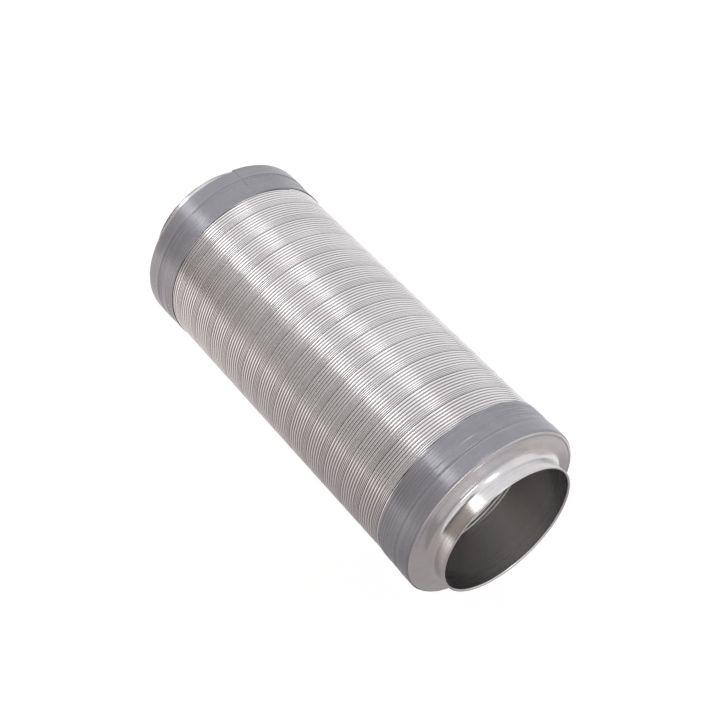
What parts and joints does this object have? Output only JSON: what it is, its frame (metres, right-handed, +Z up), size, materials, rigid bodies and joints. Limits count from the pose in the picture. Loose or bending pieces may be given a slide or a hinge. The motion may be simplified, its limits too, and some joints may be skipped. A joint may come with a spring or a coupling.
{
  "type": "flexible air duct",
  "caption": "Bendable, sound-lined length of round aluminium air duct with a collar at each end for a 150 mm pipe.",
  "frame": {"origin": "middle of the duct on its axis, halfway between the two collar mouths", "axes": "+X along the duct's axis towards the near collar, +Z up"},
  "size_m": [0.5, 0.203, 0.203],
  "materials": {
    "hose_aluminium": "satin",
    "liner_aluminium": "satin",
    "spun_aluminium": "satin",
    "sleeve_aluminium": "satin",
    "foil_tape": "gloss",
    "pvc_tape": "satin",
    "mineral_wool": "matte",
    "fleece": "matte"
  },
  "bodies": {
    "near_end": {"near_cap": "spun_aluminium", "near_sleeve": "sleeve_aluminium", "near_tape": "pvc_tape", "near_liner_seal": "foil_tape", "hose_1": "hose_aluminium", "wool_1": "mineral_wool", "fleece_1": "fleece", "liner_1": "liner_aluminium"},
    "near_bend": {"hose_2": "hose_aluminium", "wool_2": "mineral_wool", "fleece_2": "fleece", "liner_2": "liner_aluminium"},
    "near_middle": {"hose_3": "hose_aluminium", "wool_3": "mineral_wool", "fleece_3": "fleece", "liner_3": "liner_aluminium"},
    "far_middle": {"hose_4": "hose_aluminium", "wool_4": "mineral_wool", "fleece_4": "fleece", "liner_4": "liner_aluminium"},
    "far_bend": {"hose_5": "hose_aluminium", "wool_5": "mineral_wool", "fleece_5": "fleece", "liner_5": "liner_aluminium"},
    "far_end": {"far_cap": "spun_aluminium", "far_sleeve": "sleeve_aluminium", "far_tape": "pvc_tape", "far_liner_seal": "foil_tape", "hose_6": "hose_aluminium", "wool_6": "mineral_wool", "fleece_6": "fleece", "liner_6": "liner_aluminium"}
  },
  "joints": [
    {"name": "near_bend_sideways", "type": "hinge", "parent": "near_end", "child": "near_bend", "pos_m": [0.1453, 0, 0], "axis": [0, 0, 1], "range_deg": [-15, 15], "deforming": ["hose_1", "wool_1", "fleece_1", "liner_1", "hose_2", "wool_2", "fleece_2", "liner_2"]},
    {"name": "near_bend_up", "type": "hinge", "parent": "near_bend", "child": "near_middle", "pos_m": [0.07265, 0, 0], "axis": [0, 1, 0], "range_deg": [-15, 15], "deforming": ["hose_3", "wool_3", "fleece_3", "liner_3"]},
    {"name": "stretch", "type": "slide", "parent": "near_middle", "child": "far_middle", "axis": [-1, 0, 0], "range_m": [-0.03, 0.015], "deforming": ["hose_4", "wool_4", "fleece_4", "liner_4"]},
    {"name": "far_bend_up", "type": "hinge", "parent": "far_middle", "child": "far_bend", "pos_m": [-0.07265, 0, 0], "axis": [0, 1, 0], "range_deg": [-15, 15], "deforming": ["hose_5", "wool_5", "fleece_5", "liner_5"]},
    {"name": "far_bend_sideways", "type": "hinge", "parent": "far_bend", "child": "far_end", "pos_m": [-0.1453, 0, 0], "axis": [0, 0, 1], "range_deg": [-15, 15], "deforming": ["hose_6", "wool_6", "fleece_6", "liner_6"]}
  ]
}
